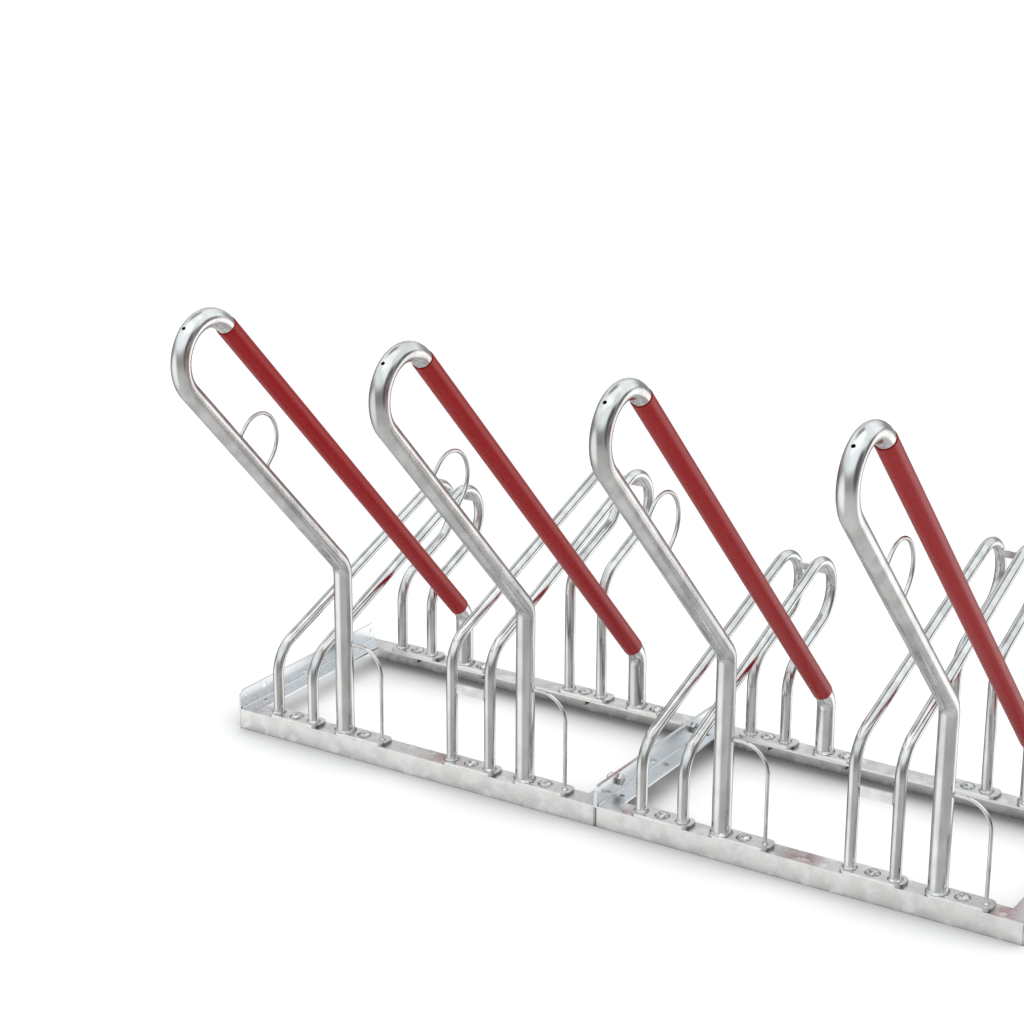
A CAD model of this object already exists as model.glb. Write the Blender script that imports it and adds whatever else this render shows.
"""Bike parking rack: its steel and plastic, weld beads, studio and camera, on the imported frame.

Lengths are in metres, in the rack's own frame: X runs along the rack, Y to the rear, and Z = 0
is the ground.
"""

import math

import bmesh
import bpy
from mathutils import Matrix, Vector


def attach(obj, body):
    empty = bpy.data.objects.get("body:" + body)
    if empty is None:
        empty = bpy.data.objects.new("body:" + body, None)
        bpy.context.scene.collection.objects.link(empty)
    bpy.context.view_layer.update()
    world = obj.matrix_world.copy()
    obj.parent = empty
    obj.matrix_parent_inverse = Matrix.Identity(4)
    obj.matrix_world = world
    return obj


MM = 0.001

# Camera of the photograph
CAMERA_AT = Vector((1.7347, -3.0423, 1.6608))
CAMERA_AZIMUTH, CAMERA_ELEVATION, CAMERA_ROLL = 32.54, 18.50, 0.24
SENSOR_WIDTH, LENS = 36.0, 85.77
CLIP_START, CLIP_END = 0.05, 200

# Places and bends of the CAD model's tubes and rods, which the beads follow.
# Feet: X of each wheel pair's middle, from it to the lean hoop and on to the stay rod, Y of the
# front and rear feet, the pair's width at them, and the height of the plates
SLOT_XS = [-0.592, -0.242, 0.108, 0.458]
LEAN_SHIFT, STAY_REACH = 102 * MM, 74 * MM
FRONT_Y, REAR_Y = -63.3756 * MM, 291.6244 * MM
PAIR_FRONT, PAIR_REAR = 72 * MM, 63 * MM
PLATE_TOP = 40 * MM
WHEEL_TUBE_R, LEAN_TUBE_R, ROD_R = 9 * MM, 15 * MM, 3 * MM
# Lean hoop: angle from upright and height of its lower corner
LEAN_ANGLE, LEAN_CORNER = math.radians(44), 329 * MM
# Wheel hoop: rise and length of its slope, radius of its return bend, height of its lower
# corner, how much higher a high pair is, and how far below the corner its rest bar lies
WHEEL_SLOPE, WHEEL_RUN, RETURN_R = math.radians(21.2), 466 * MM, 56 * MM
LOW_CORNER, HIGH_STEP, REST_DROP = 147 * MM, 89 * MM, 71.5 * MM
# Tie bar: its place round the return bend and its distance from the bend's middle
TIE_ANGLE, TIE_MIDDLE = math.radians(36), 52 * MM
# Height of the stay rod's end, place of the lock eye up the lean hoop, and the eye's width
STAY_HEIGHT, EYE_PLACE, EYE_WIDTH = 194.5 * MM, 329 * MM, 88 * MM
# Length of a module and leg of its rails
MODULE, RAIL_LEG = 700 * MM, 35 * MM


# Materials

class Nodes:
    """Short forms for building a node tree."""

    def __init__(self, tree):
        self.tree = tree

    def add(self, kind, settings=None, **sockets):
        """Adds a node. A socket value is a constant or another node's output."""
        node = self.tree.nodes.new(kind)
        for key, value in (settings or {}).items():
            setattr(node, key, value)
        self.join(node, **sockets)
        return node

    def join(self, node, **sockets):
        """Sets inputs by their name, with _ for a blank, or by their number as in0, in1 ..."""
        for key, value in sockets.items():
            socket = node.inputs[int(key[2:]) if key.startswith("in") else key.replace("_", " ")]
            if isinstance(value, bpy.types.NodeSocket):
                self.tree.links.new(value, socket)
            else:
                socket.default_value = value

    def math(self, kind, a, b):
        return self.add("ShaderNodeMath", {"operation": kind}, in0=a, in1=b).outputs[0]

    def plus(self, a, b):
        return self.math("ADD", a, b)

    def times(self, a, b):
        return self.math("MULTIPLY", a, b)

    def blend(self, fraction, first, second):
        return self.add("ShaderNodeMixRGB", in0=fraction, in1=first, in2=second).outputs[0]

    def ramp(self, value, low, high, out_low, out_high):
        """Takes low..high smoothly to out_low..out_high."""
        return self.add("ShaderNodeMapRange", {"interpolation_type": "SMOOTHSTEP"}, in0=value,
                        in1=low, in2=high, in3=out_low, in4=out_high).outputs[0]

    def shelter(self, samples, distance):
        """1 in the open, and less where something stands within the distance."""
        return self.add("ShaderNodeAmbientOcclusion", {"samples": samples},
                        Distance=distance).outputs["AO"]


class Finish(Nodes):
    """A piece's material: patterns that lie still on the piece, and its Principled shader."""

    def __init__(self, name):
        self.material = bpy.data.materials.new(name)
        self.material.use_nodes = True
        super().__init__(self.material.node_tree)
        self.bsdf = self.tree.nodes["Principled BSDF"]
        self.place = self.add("ShaderNodeTexCoord").outputs["Object"]

    def noise(self, scale, detail, roughness, stretch=(1, 1, 1), offset=(0, 0, 0)):
        where = self.add("ShaderNodeMapping", Vector=self.place, Scale=stretch, Location=offset)
        return self.add("ShaderNodeTexNoise", Vector=where.outputs[0], Scale=scale, Detail=detail,
                        Roughness=roughness).outputs["Fac"]

    def cells(self, scale, wobble, wobble_scale, wobble_detail):
        """A random value from 0 to 1 for each crystal, with uneven borders."""
        noise = self.add("ShaderNodeTexNoise", Vector=self.place, Scale=scale * wobble_scale,
                         Detail=wobble_detail)
        moved = self.add("ShaderNodeMixRGB", {"blend_type": "ADD"}, in0=wobble,
                         in1=self.place, in2=noise.outputs["Color"]).outputs[0]
        cell = self.add("ShaderNodeTexVoronoi", Vector=moved, Scale=scale)
        return self.add("ShaderNodeSeparateColor", Color=cell.outputs["Color"]).outputs[0]

    def eased(self, radius):
        """A normal that eases sharp edges over a radius."""
        return self.add("ShaderNodeBevel", {"samples": EDGE_SAMPLES}, Radius=radius).outputs[0]

    def bump(self, height, strength, distance, below=None):
        node = self.add("ShaderNodeBump", Strength=strength, Distance=distance, Height=height)
        if below is not None:
            self.join(node, Normal=below)
        return node.outputs[0]


def grey(value, tint=(1.0, 1.0, 1.0)):
    return tuple(value * t for t in tint) + (1.0,)


EDGE_SAMPLES = 4

# The layers of zinc: their noise, and what they add to the tone, roughness and relief. Scales
# are in features per metre, and a range holds the values between which a pattern rises.
WOBBLE = {"wobble": 0.006, "wobble_scale": 1.5, "wobble_detail": 2.0}
CRYSTAL_TONE, CRYSTAL_ROUGH = 0.10, 0.15
CLOUDS, CLOUD_RANGE = {"detail": 2.5, "roughness": 0.55}, (0.36, 0.64)
CLOUD_TONE, CLOUD_ROUGH, ROUGH_RANGE = 0.75, 0.85, (0.25, 0.75)
FLECKS = {"scale": 130.0, "detail": 3.0, "roughness": 0.6, "offset": (3, 1, 4)}
FLECK_STRENGTH, FLECK_DEPTH = 0.05, 0.10 * MM
OXIDE = {"scale": 38.0, "detail": 2.5, "roughness": 0.55, "offset": (7, 2, 5)}
OXIDE_RANGE, OXIDE_WHITE = (0.50, 0.68), grey(0.98, (1.0, 1.0, 0.985))
OXIDE_ROUGH, OXIDE_DULL = 0.15, 0.45
GRIME_REACH, GRIME_SAMPLES, GRIME_RANGE = 5 * MM, 6, (0.35, 0.85)
GRIME_DARK, SIDE_DARK = grey(0.16, (1.0, 0.98, 0.95)), grey(0.13, (1.0, 0.99, 0.97))
# Of a normal: its Z on a steep side, and its squared X on a face towards the rack's ends
FLANK_RANGE, END_RANGE = (0.74, 0.87), (0.25, 0.7)
COAT = {"detail": 2.0, "roughness": 0.5, "offset": (1, 8, 2)}
COAT_FLOW, COAT_DEPTH = 0.5, 0.5 * MM


def zinc(name, dark, light, rough_low, rough_high, crystal, ripple, cloud=34.0, swell=55.0,
         flow=1.0, along=1.0, speckle=0.15, tint=(1.0, 1.0, 0.99), oxide=0.0, edge=0.0, grime=0.0,
         flank=0.0, ends=0.0):
    """Hot-dip galvanised steel: clouds, faint crystals, white oxide blotches, an uneven coat.

    dark and light are the tones of its clouds, and rough_low and rough_high its roughness.
    crystal, cloud and swell are the scales of the crystals, the clouds and the coat's waves. flow
    and along stretch the clouds and waves along Z and Y. ripple is how uneven the coat is, speckle
    how much its flecks show, oxide how white its blotches are, and edge the radius that eases
    sharp edges. grime is how dark the metal gets in crevices, flank on its steep sides, and ends
    on the faces towards the rack's ends.
    """
    s = Finish(name)
    crystals = s.cells(crystal, **WOBBLE)
    clouds = s.noise(cloud, stretch=(1, along, flow), **CLOUDS)
    flecks = s.noise(**FLECKS)
    tone = s.plus(s.times(crystals, CRYSTAL_TONE),
                  s.plus(s.ramp(clouds, *CLOUD_RANGE, 0.0, CLOUD_TONE), s.times(flecks, speckle)))
    colour = s.blend(tone, grey(dark, tint), grey(light, tint))
    pattern = s.plus(s.times(crystals, CRYSTAL_ROUGH), s.times(clouds, CLOUD_ROUGH))
    rough = s.ramp(pattern, *ROUGH_RANGE, rough_low, rough_high)
    metallic = 1.0
    if oxide:
        veil = s.ramp(s.noise(**OXIDE), *OXIDE_RANGE, 0.0, oxide)
        colour = s.blend(veil, colour, OXIDE_WHITE)
        rough = s.plus(rough, s.times(veil, OXIDE_ROUGH))
        metallic = s.math("SUBTRACT", 1.0, s.times(veil, OXIDE_DULL))
    if grime:
        open_air = s.shelter(GRIME_SAMPLES, GRIME_REACH)
        colour = s.blend(s.ramp(open_air, *GRIME_RANGE, grime, 0.0), colour, GRIME_DARK)
    if flank or ends:
        normal = s.add("ShaderNodeNewGeometry").outputs["Normal"]
        facing = s.add("ShaderNodeSeparateXYZ", Vector=normal).outputs
        if flank:
            side = s.ramp(facing["Z"], *FLANK_RANGE, flank, 0.0)
        else:
            side = s.ramp(s.times(facing["X"], facing["X"]), *END_RANGE, 0.0, ends)
        colour = s.blend(side, colour, SIDE_DARK)
    coat = s.noise(swell, stretch=(1, along, COAT_FLOW * flow), **COAT)
    skin = s.bump(coat, ripple, COAT_DEPTH, s.eased(edge) if edge else None)
    s.join(s.bsdf, Base_Color=colour, Metallic=metallic, Roughness=rough,
           Normal=s.bump(flecks, FLECK_STRENGTH, FLECK_DEPTH, skin))
    return s.material


# The sleeve's red from dark to light, and what its rub marks add to it
RED_TONE = {"scale": 30.0, "detail": 4.0, "roughness": 0.6}
RED_DARK, RED_LIGHT = (0.415, 0.003, 0.006, 1.0), (0.465, 0.006, 0.009, 1.0)
RUBS = {"scale": 60.0, "detail": 4.0, "roughness": 0.6, "stretch": (1, 0.12, 0.12)}
RUB_RANGE, RUB_SHARE, RUB_ROUGH, RUB_RED = (0.55, 0.8), 0.5, 0.3, (0.46, 0.016, 0.018, 1.0)
GRAIN = {"scale": 900.0, "detail": 2.0, "roughness": 0.6}
GRAIN_STRENGTH, GRAIN_DEPTH, SLEEVE_EDGE = 0.10, 0.08 * MM, 1.2 * MM
SLEEVE_SPECULAR, SLEEVE_RANGE, SLEEVE_ROUGH = 0.34, (0.3, 1.0), (0.24, 0.36)


def red_sleeve():
    """Satin red plastic sleeve with faint rub marks along it."""
    s = Finish("red_sleeve")
    tone = s.noise(**RED_TONE)
    grain = s.noise(**GRAIN)
    rubbed = s.ramp(s.noise(**RUBS), *RUB_RANGE, 0.0, RUB_SHARE)
    colour = s.blend(rubbed, s.blend(tone, RED_DARK, RED_LIGHT), RUB_RED)
    rough = s.ramp(s.plus(tone, s.times(rubbed, RUB_ROUGH)), *SLEEVE_RANGE, *SLEEVE_ROUGH)
    s.join(s.bsdf, Base_Color=colour, Roughness=rough, Specular_IOR_Level=SLEEVE_SPECULAR,
           Normal=s.bump(grain, GRAIN_STRENGTH, GRAIN_DEPTH, s.eased(SLEEVE_EDGE)))
    return s.material


def finishes():
    """A material for each of the record's slots, for the weld beads and for the cross angles."""
    warm, cool = (1.0, 0.99, 0.98), (0.96, 0.98, 1.0)
    return {
        "hoop_tube": zinc("hoop_tube", 0.60, 0.84, 0.11, 0.22, crystal=130.0, ripple=0.12,
                          flow=0.35, grime=0.8),
        "rod_steel": zinc("rod_steel", 0.58, 0.80, 0.12, 0.24, crystal=260.0, ripple=0.08),
        "plate_steel": zinc("plate_steel", 0.75, 0.91, 0.18, 0.30, crystal=150.0, ripple=0.10,
                            cloud=50.0, tint=warm, edge=0.6 * MM, grime=0.9, ends=0.8),
        "rail_steel": zinc("rail_steel", 0.71, 0.88, 0.22, 0.34, crystal=70.0, ripple=0.07,
                           oxide=0.85, tint=warm, edge=0.5 * MM, grime=0.6, speckle=0.08),
        "fastener_steel": zinc("fastener_steel", 0.52, 0.84, 0.06, 0.14, crystal=400.0,
                               ripple=0.30, cloud=90.0, swell=140.0, edge=0.5 * MM, grime=0.9,
                               flank=0.62),
        "red_plastic": red_sleeve(),
        "weld": zinc("weld_steel", 0.50, 0.86, 0.05, 0.14, crystal=500.0, ripple=0.8, cloud=160.0,
                     swell=260.0, grime=0.95, ends=0.9),
        "cross": zinc("cross_steel", 0.76, 0.90, 0.22, 0.30, crystal=40.0, ripple=0.04, cloud=30.0,
                      along=0.12, tint=cool, edge=0.4 * MM, grime=0.5, speckle=0.05),
    }


def dress_nodes(materials):
    """Gives every CAD node the finish of its slot, and the cross angles their own."""
    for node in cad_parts.values():
        for held in node.material_slots:
            slot_name = held.material.name.split(".")[0]
            is_cross = node.name.startswith("cross_angle")
            held.material = materials["cross" if is_cross else slot_name]


# Weld beads

def mesh_piece(name, bm, material):
    """Makes a piece of the steel body from a bmesh."""
    bmesh.ops.recalc_face_normals(bm, faces=bm.faces)
    mesh = bpy.data.meshes.new(name)
    bm.to_mesh(mesh)
    bm.free()
    for face in mesh.polygons:
        face.use_smooth = True
    mesh.materials.append(material)
    piece = bpy.data.objects.new(name, mesh)
    bpy.context.scene.collection.objects.link(piece)
    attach(piece, "root")


def join_rings(bm, rings, closed=False):
    """Faces between rings of the same number of points, and back to the first ring if closed."""
    for low, high in zip(rings, rings[1:] + rings[:1] if closed else rings[1:]):
        for k in range(len(low)):
            j = (k + 1) % len(low)
            bm.faces.new((low[k], low[j], high[j], high[k]))


# Outline of a bead: how far out from the piece and how far up it, in shares of width and height
BEAD_SECTION = [(-0.4, -0.15), (1.0, -0.15), (0.96, 0.14), (0.66, 0.30), (0.36, 0.58),
                (0.15, 0.95), (-0.4, 1.0)]
# Steps round a bead: the fewest, and per mm of its radius
BEAD_STEPS, STEPS_PER_MM = 36, 8
# Ripples of the weld's passes: size, distance, and the fewest round a bead
PASS_SWELL, PASS_PITCH, PASS_FEWEST = 0.09, 2.1 * MM, 11
# Slower swells of a bead: size, waves round it and how far the seed turns them
SWELLS = ((0.15, 2, 1.7), (0.10, 5, 2.9))
# The seed turns the ripples from bead to bead; this is its step from place to place
SEED_STEP = 0.7
# Widths and heights of the beads, and half sides of the bars inside them
WHEEL_BEAD, LEAN_BEAD = (2.8 * MM, 3.0 * MM), (3.2 * MM, 3.8 * MM)
STAY_BEAD, SMALL_BEAD = (2.2 * MM, 2.4 * MM), (1.8 * MM, 1.8 * MM)
TIE_HALF, REST_HALF = (2 * MM, 10 * MM), (2 * MM, 8 * MM)


def bead(bm, place, core, size, seed, half=(0.0, 0.0), shift=0.0, on_tube=None):
    """A fillet weld round the end of a rod, tube or bar, with the ripples of its passes.

    place is a frame on the surface with Z up the welded piece. core is that piece's radius, and
    half a bar's half sides. on_tube is the radius of a tube that the bead sits on across X, and
    shift the bar's offset from that tube's middle.
    """
    width, height = size
    around = max(BEAD_STEPS, int(core / MM * STEPS_PER_MM))
    ripples = max(PASS_FEWEST, int(2 * math.pi * (core + sum(half)) / PASS_PITCH))
    rings = []
    for i in range(around):
        turn = 2 * math.pi * (i + 0.5) / around
        swell = 1 + PASS_SWELL * math.cos(ripples * turn + seed)
        for share, waves, twist in SWELLS:
            swell += share * math.sin(waves * turn + twist * seed)
        ring = []
        for out, up in BEAD_SECTION:
            reach = core + width * out * (swell if out > 0 else 1)
            x = shift + math.copysign(half[0], math.cos(turn)) + reach * math.cos(turn)
            y = math.copysign(half[1], math.sin(turn)) + reach * math.sin(turn)
            z = height * up * (swell if up > 0 else 1)
            if on_tube:
                z -= on_tube - math.sqrt(max(on_tube ** 2 - x ** 2, 0.0))
            ring.append(bm.verts.new(place @ Vector((x, y, z))))
        rings.append(ring)
    join_rings(bm, rings, closed=True)


def frame_at(at, across, up):
    """Frame at a point from its X and Z directions."""
    across, up = Vector(across).normalized(), Vector(up).normalized()
    turn = Matrix((across, up.cross(across), up)).transposed()
    return Matrix.Translation(at) @ turn.to_4x4()


def foot_welds(bm, slot, lean, seed):
    """The beads on one place's front and rear plates."""
    for y, pair in ((FRONT_Y, PAIR_FRONT), (REAR_Y, PAIR_REAR)):
        for side in (-1, 1):
            at = (slot + side * pair / 2, y, PLATE_TOP)
            bead(bm, Matrix.Translation(at), WHEEL_TUBE_R, WHEEL_BEAD, seed + side + y)
        bead(bm, Matrix.Translation((lean, y, PLATE_TOP)), LEAN_TUBE_R, LEAN_BEAD, seed + y)
    at = (lean + STAY_REACH, FRONT_Y, PLATE_TOP)
    bead(bm, Matrix.Translation(at), ROD_R, STAY_BEAD, seed)


def rod_and_bar_welds(bm, slot, lean, seed, high):
    """The beads of one place's stay rod, lock eye, tie bar and, on a high place, rest bar."""
    lean_dir = Vector((0, -math.sin(LEAN_ANGLE), math.cos(LEAN_ANGLE)))
    lean_out = Vector((0, math.cos(LEAN_ANGLE), math.sin(LEAN_ANGLE)))
    slope = Vector((0, math.cos(WHEEL_SLOPE), math.sin(WHEEL_SLOPE)))
    inner = Vector((0, math.sin(WHEEL_SLOPE), -math.cos(WHEEL_SLOPE)))
    radial = Vector((0, math.cos(TIE_ANGLE), math.sin(TIE_ANGLE)))
    corner = LOW_CORNER + (HIGH_STEP if high else 0)
    stay = frame_at((lean + LEAN_TUBE_R, FRONT_Y, STAY_HEIGHT), (0, 1, 0), (1, 0, 0))
    bead(bm, stay, ROD_R, SMALL_BEAD, seed, on_tube=LEAN_TUBE_R)
    for side in (-1, 1):
        at = (Vector((lean, FRONT_Y, LEAN_CORNER)) + (EYE_PLACE + side * EYE_WIDTH / 2) * lean_dir
              + LEAN_TUBE_R * lean_out)
        bead(bm, frame_at(at, (1, 0, 0), lean_out), ROD_R, SMALL_BEAD, seed + side,
             on_tube=LEAN_TUBE_R)
        crown = Vector((slot, FRONT_Y, corner)) + WHEEL_RUN * slope + RETURN_R * inner
        at = crown + RETURN_R * radial + Vector((side * (PAIR_REAR / 2 - WHEEL_TUBE_R), 0, 0))
        bead(bm, frame_at(at, radial, (-side, 0, 0)), 0.0, SMALL_BEAD, seed - side, TIE_HALF,
             TIE_MIDDLE - RETURN_R, WHEEL_TUBE_R)
        if high:
            at = (slot + side * (PAIR_FRONT / 2 - WHEEL_TUBE_R), FRONT_Y, corner - REST_DROP)
            bead(bm, frame_at(at, (0, 1, 0), (-side, 0, 0)), 0.0, SMALL_BEAD, seed + 3 * side,
                 REST_HALF, 0.0, WHEEL_TUBE_R)


def weld_beads(material):
    """The beads of each place. Every second place is a high one."""
    for number, slot in enumerate(SLOT_XS, 1):
        lean, seed = slot + LEAN_SHIFT, SEED_STEP * number
        bm = bmesh.new()
        foot_welds(bm, slot, lean, seed)
        mesh_piece(f"foot_welds_{number}", bm, material)
        bm = bmesh.new()
        rod_and_bar_welds(bm, slot, lean, seed, high=number % 2 == 0)
        mesh_piece(f"rod_and_bar_welds_{number}", bm, material)


# Upright bead on a rail's end: how deep behind the rail's face its back and its edge lie, its
# rings, how high its foot is, and how much shorter it is than the rail's leg
END_DEPTH, END_LIFT, END_RINGS = 3.4 * MM, 1.1 * MM, 17
END_FOOT, END_TRIM = 0.6 * MM, 3.6 * MM
# Its outline: mm along the rail from its end, and the depth behind its face
END_OUTLINE = [(0.5, END_DEPTH), (0.5, END_LIFT), (1.1, 0.55 * MM), (2.0, 0.35 * MM),
               (3.2, 0.45 * MM), (3.2, END_DEPTH)]
# Its quick and its slow waves: size, and radians per ring
QUICK_WAVE, QUICK_TURN = 0.18 * MM, 2.4
SLOW_WAVE, SLOW_TURN = 0.12 * MM, 1.1


def rail_end_welds(material):
    """Upright beads that close the ends of the rails' outer flanges."""
    for number, (left, right) in enumerate(((-MODULE, 0.0), (0.0, MODULE)), 1):
        bm = bmesh.new()
        for face, inwards in ((FRONT_Y - RAIL_LEG / 2, 1), (REAR_Y + RAIL_LEG / 2, -1)):
            for end, towards in ((left, 1), (right, -1)):
                rings = []
                for i in range(END_RINGS):
                    z = END_FOOT + i / (END_RINGS - 1) * (RAIL_LEG - END_TRIM)
                    wave = (QUICK_WAVE * math.cos(QUICK_TURN * i + number)
                            + SLOW_WAVE * math.sin(SLOW_TURN * i))
                    rings.append([
                        bm.verts.new((end + towards * x * MM,
                                      face + inwards * (y + (wave if y < END_DEPTH else 0)), z))
                        for x, y in END_OUTLINE])
                join_rings(bm, rings)
                bm.faces.new(rings[0])
                bm.faces.new(rings[-1])
        mesh_piece(f"rail_end_welds_{number}", bm, material)


# Studio

def make_camera():
    az, el, roll = (math.radians(a) for a in (CAMERA_AZIMUTH, CAMERA_ELEVATION, CAMERA_ROLL))
    look = Vector((-math.sin(az) * math.cos(el), math.cos(az) * math.cos(el), -math.sin(el)))
    right = Vector((math.cos(az), math.sin(az), 0))
    up = right.cross(look)
    right, up = (right * math.cos(roll) + up * math.sin(roll),
                 up * math.cos(roll) - right * math.sin(roll))
    data = bpy.data.cameras.new("photo_camera")
    data.sensor_fit = "HORIZONTAL"
    data.sensor_width, data.lens = SENSOR_WIDTH, LENS
    data.clip_start, data.clip_end = CLIP_START, CLIP_END
    camera = bpy.data.objects.new("photo_camera", data)
    bpy.context.scene.collection.objects.link(camera)
    turn = Matrix((right, up, -look)).transposed().to_4x4()
    camera.matrix_world = Matrix.Translation(CAMERA_AT) @ turn
    bpy.context.scene.camera = camera


# The floor is white for the camera and darkens only close to the rack. It has one tone for the
# light that it throws back and one for the shadows seen on it, and glows where it is open.
FLOOR_HALF, FLOOR_BOUNCE, FLOOR_SEEN = 40, 0.78, 0.22
GLOW, GLOW_REACH, GLOW_POWER, GLOW_SAMPLES = 0.92, 0.13, 1.5, 16
# How dim it is where metal sees it close to the rack
MIRROR_DIM, MIRROR_POWER = 0.08, 1.3


def make_floor():
    """A pale floor with the rack's shadow. Metal sees through it to the studio's pale ground."""
    bm = bmesh.new()
    bmesh.ops.create_grid(bm, x_segments=1, y_segments=1, size=FLOOR_HALF)
    mesh = bpy.data.meshes.new("floor")
    bm.to_mesh(mesh)
    bm.free()
    floor = bpy.data.objects.new("floor", mesh)
    bpy.context.scene.collection.objects.link(floor)
    material = bpy.data.materials.new("floor")
    material.use_nodes = True
    n = Nodes(material.node_tree)
    n.tree.nodes.clear()
    path = n.add("ShaderNodeLightPath").outputs
    camera = path["Is Camera Ray"]
    mirrored = n.math("MAXIMUM", path["Is Glossy Ray"], path["Is Transmission Ray"])
    near = n.shelter(GLOW_SAMPLES, GLOW_REACH)
    glow = n.times(n.math("POWER", near, GLOW_POWER), n.times(camera, GLOW))
    colour = n.blend(camera, grey(FLOOR_BOUNCE), grey(FLOOR_SEEN))
    diffuse = n.add("ShaderNodeBsdfDiffuse", Color=colour).outputs[0]
    shine = n.add("ShaderNodeEmission", Color=grey(1.0), Strength=glow).outputs[0]
    seen = n.add("ShaderNodeAddShader", in0=diffuse, in1=shine).outputs[0]
    veil = n.blend(n.math("POWER", near, MIRROR_POWER), grey(MIRROR_DIM), grey(1.0))
    clear = n.add("ShaderNodeBsdfTransparent", Color=veil).outputs[0]
    surface = n.add("ShaderNodeMixShader", in0=mirrored, in1=seen, in2=clear).outputs[0]
    n.add("ShaderNodeOutputMaterial", Surface=surface)
    mesh.materials.append(material)


# Light from around: sine of the elevation, radiance and tint
PLAIN, COOL = (1.0, 1.0, 0.995), (0.93, 0.98, 1.0)
SKY_STOPS = [(-1.0, 0.66, PLAIN), (-0.36, 0.53, PLAIN), (-0.16, 0.36, PLAIN), (0.0, 0.31, PLAIN),
             (0.20, 0.36, PLAIN), (0.36, 0.80, COOL), (0.48, 1.06, COOL), (1.0, 1.12, COOL)]
# Bright and dark cards of the studio: heading of the middle from the front towards +X and its
# elevation, radius of the even part and of the whole, all in degrees, then radiance and tint
CARDS = [
    (-40.0, -18.0, 16.0, 42.0, 1.08, PLAIN),
    (146.0, -19.0, 9.0, 24.0, 1.38, PLAIN),
    (-112.0, -18.0, 8.0, 24.0, 0.16, PLAIN),
    (-147.5, 18.5, 10.0, 25.0, 0.68, PLAIN),
    (-130.0, 57.0, 9.0, 20.0, 0.34, PLAIN),
    (147.5, 18.5, 7.0, 18.0, 1.15, COOL),
    (88.0, 8.0, 14.0, 32.0, 0.10, PLAIN),
    (125.0, 30.0, 9.5, 16.0, 1.08, COOL),
    (133.0, 1.0, 6.0, 13.0, 0.16, PLAIN),
]


def heading(azimuth, elevation):
    """Direction from a heading and an elevation in degrees."""
    az, el = math.radians(azimuth), math.radians(elevation)
    return (math.sin(az) * math.cos(el), -math.cos(az) * math.cos(el), math.sin(el))


def make_world():
    """White for the camera; for light, a studio with a cool ceiling, a dim horizon and cards."""
    world = bpy.data.worlds.new("studio")
    world.use_nodes = True
    n = Nodes(world.node_tree)
    n.tree.nodes.clear()
    direction = n.add("ShaderNodeTexCoord").outputs["Generated"]
    height = n.add("ShaderNodeSeparateXYZ", Vector=direction).outputs["Z"]
    ramp = n.add("ShaderNodeValToRGB", Fac=n.times(n.plus(height, 1.0), 0.5))
    stops = ramp.color_ramp.elements
    for stop, (_, level, tint) in zip(stops, (SKY_STOPS[0], SKY_STOPS[-1])):
        stop.color = grey(level, tint)
    for sine, level, tint in SKY_STOPS[1:-1]:
        stops.new((sine + 1) / 2).color = grey(level, tint)
    colour = ramp.outputs[0]
    for azimuth, elevation, even, whole, level, tint in CARDS:
        near = n.add("ShaderNodeVectorMath", {"operation": "DOT_PRODUCT"}, in0=direction,
                     in1=heading(azimuth, elevation)).outputs["Value"]
        rim, core = math.cos(math.radians(whole)), math.cos(math.radians(even))
        colour = n.blend(n.ramp(near, rim, core, 0.0, 1.0), colour, grey(level, tint))
    studio = n.add("ShaderNodeBackground", Color=colour, Strength=1.0).outputs[0]
    white = n.add("ShaderNodeBackground", Color=grey(1.0), Strength=1.0).outputs[0]
    camera = n.add("ShaderNodeLightPath").outputs["Is Camera Ray"]
    mixed = n.add("ShaderNodeMixShader", in0=camera, in1=studio, in2=white).outputs[0]
    n.add("ShaderNodeOutputWorld", Surface=mixed)
    bpy.context.scene.world = world


# A wide, weak lamp over the rack
BOX_AT, BOX_AIM = Vector((0.3, -0.6, 5.0)), Vector((0, 0.1, 0.3))
BOX_WIDTH, BOX_DEPTH, BOX_RADIANCE = 5.0, 4.0, 0.25


def make_lamp():
    data = bpy.data.lights.new("top_box", "AREA")
    data.shape = "RECTANGLE"
    data.size, data.size_y = BOX_WIDTH, BOX_DEPTH
    data.energy = BOX_RADIANCE * math.pi * BOX_WIDTH * BOX_DEPTH
    lamp = bpy.data.objects.new("top_box", data)
    lamp.location = BOX_AT
    lamp.rotation_mode = "QUATERNION"
    lamp.rotation_quaternion = (BOX_AIM - BOX_AT).to_track_quat("-Z", "Y")
    bpy.context.scene.collection.objects.link(lamp)


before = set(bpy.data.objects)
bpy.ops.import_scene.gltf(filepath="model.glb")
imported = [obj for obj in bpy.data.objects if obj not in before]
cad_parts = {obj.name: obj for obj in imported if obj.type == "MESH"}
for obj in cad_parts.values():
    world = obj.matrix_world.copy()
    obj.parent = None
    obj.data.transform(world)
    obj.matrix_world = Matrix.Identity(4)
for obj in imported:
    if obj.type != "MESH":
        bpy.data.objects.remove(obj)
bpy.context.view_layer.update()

make_camera()
make_world()
make_lamp()
make_floor()
finish_of = finishes()
dress_nodes(finish_of)
weld_beads(finish_of["weld"])
rail_end_welds(finish_of["rail_steel"])

bpy.context.scene.view_settings.view_transform = "Standard"
